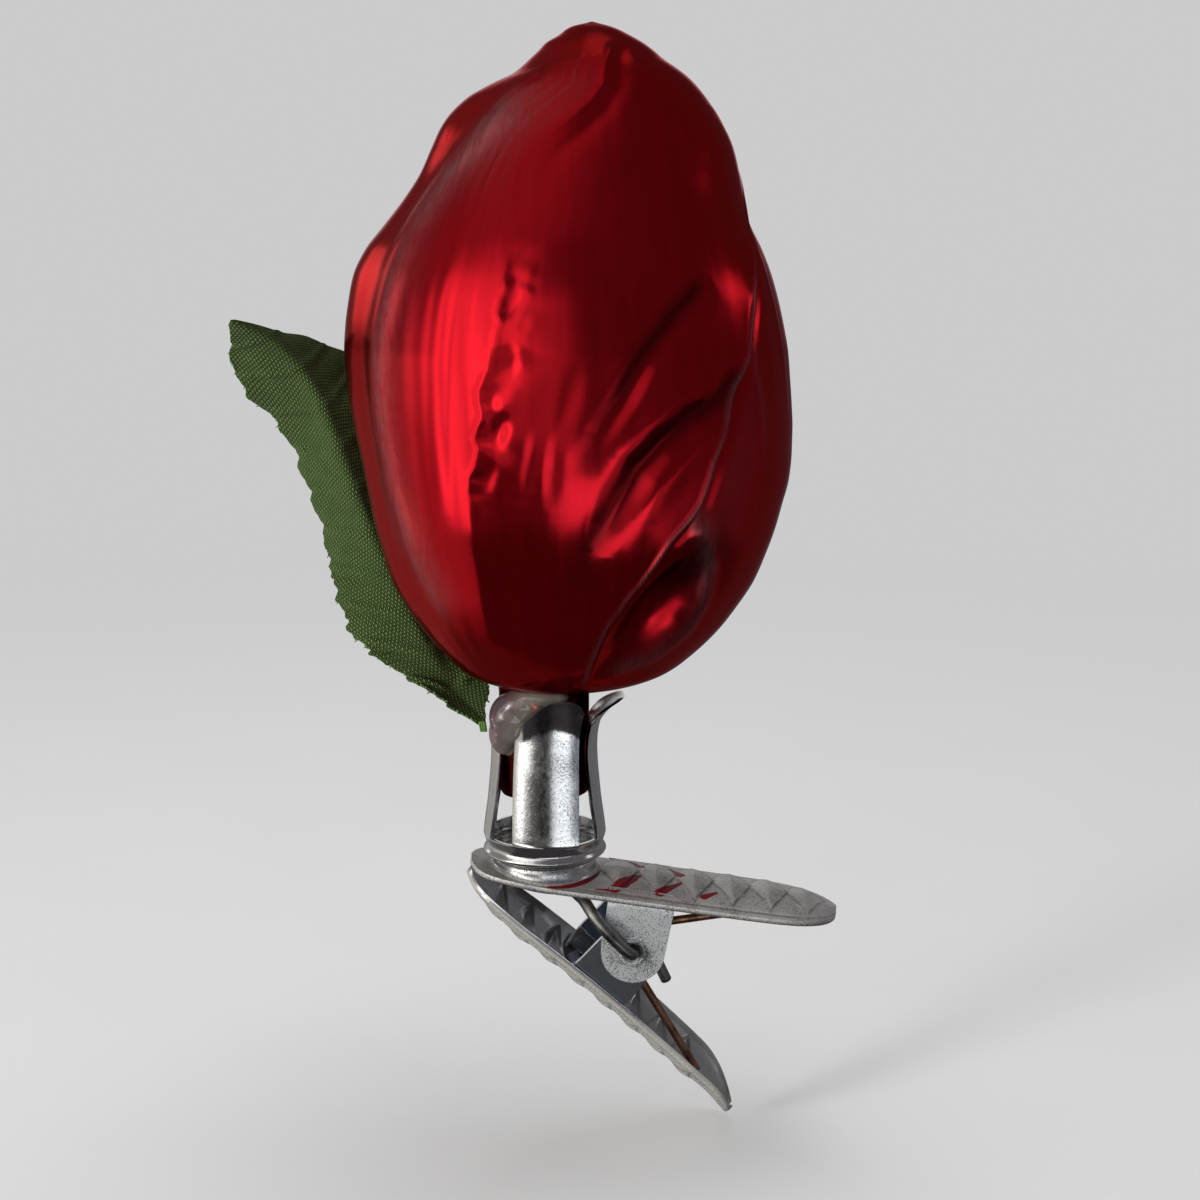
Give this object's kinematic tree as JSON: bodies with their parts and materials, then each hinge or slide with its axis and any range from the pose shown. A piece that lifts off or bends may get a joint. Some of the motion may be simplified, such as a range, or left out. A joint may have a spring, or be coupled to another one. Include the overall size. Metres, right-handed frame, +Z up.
{
  "type": "clip-on rosebud ornament",
  "caption": "Clip-on blown-glass rosebud: a hollow red bud whose pike sits in a pronged tin cup, riveted to a sprung jaw clip, with a folded cloth leaf glued beside it.",
  "frame": {"origin": "the grip point between the two jaw tips, on the part's middle plane", "axes": "+Z up along the cup's axis and the bud, +X from the jaw tips to the finger ends, Y along the hinge pin; -X is the way the jaws reach onto a branch"},
  "size_m": [0.0617, 0.043, 0.1105],
  "materials": {
    "red_glass": "frosted metallic red lacquer on blown glass",
    "tin": "bright tin plate with specks, scratches and brownish stains",
    "steel_wire": "dull drawn steel wire",
    "copper_wire": "copper-washed spring wire, tarnished",
    "green_cloth": "plain-woven stiffened cloth with pressed veins and a frayed cut edge",
    "clear_glue": "milky clear hot-melt glue"
  },
  "bodies": {
    "upper": {"upper_jaw": "tin", "collar": "tin", "collar_rivet": "tin", "glass_bud": "red_glass", "hinge_pin": "steel_wire", "torsion_spring": "copper_wire", "leaf": "green_cloth", "glue_bead": "clear_glue"},
    "lower": {"lower_jaw": "tin"}
  },
  "joints": [
    {"name": "jaw_hinge", "type": "hinge", "parent": "upper", "child": "lower", "pos_m": [0.01665, 0, -0.00706], "axis": [0, -1, 0], "range_deg": [0, 45], "stiffness_Nm_per_rad": 0.04, "springref_deg": -68.75, "deforming": ["torsion_spring"]}
  ]
}
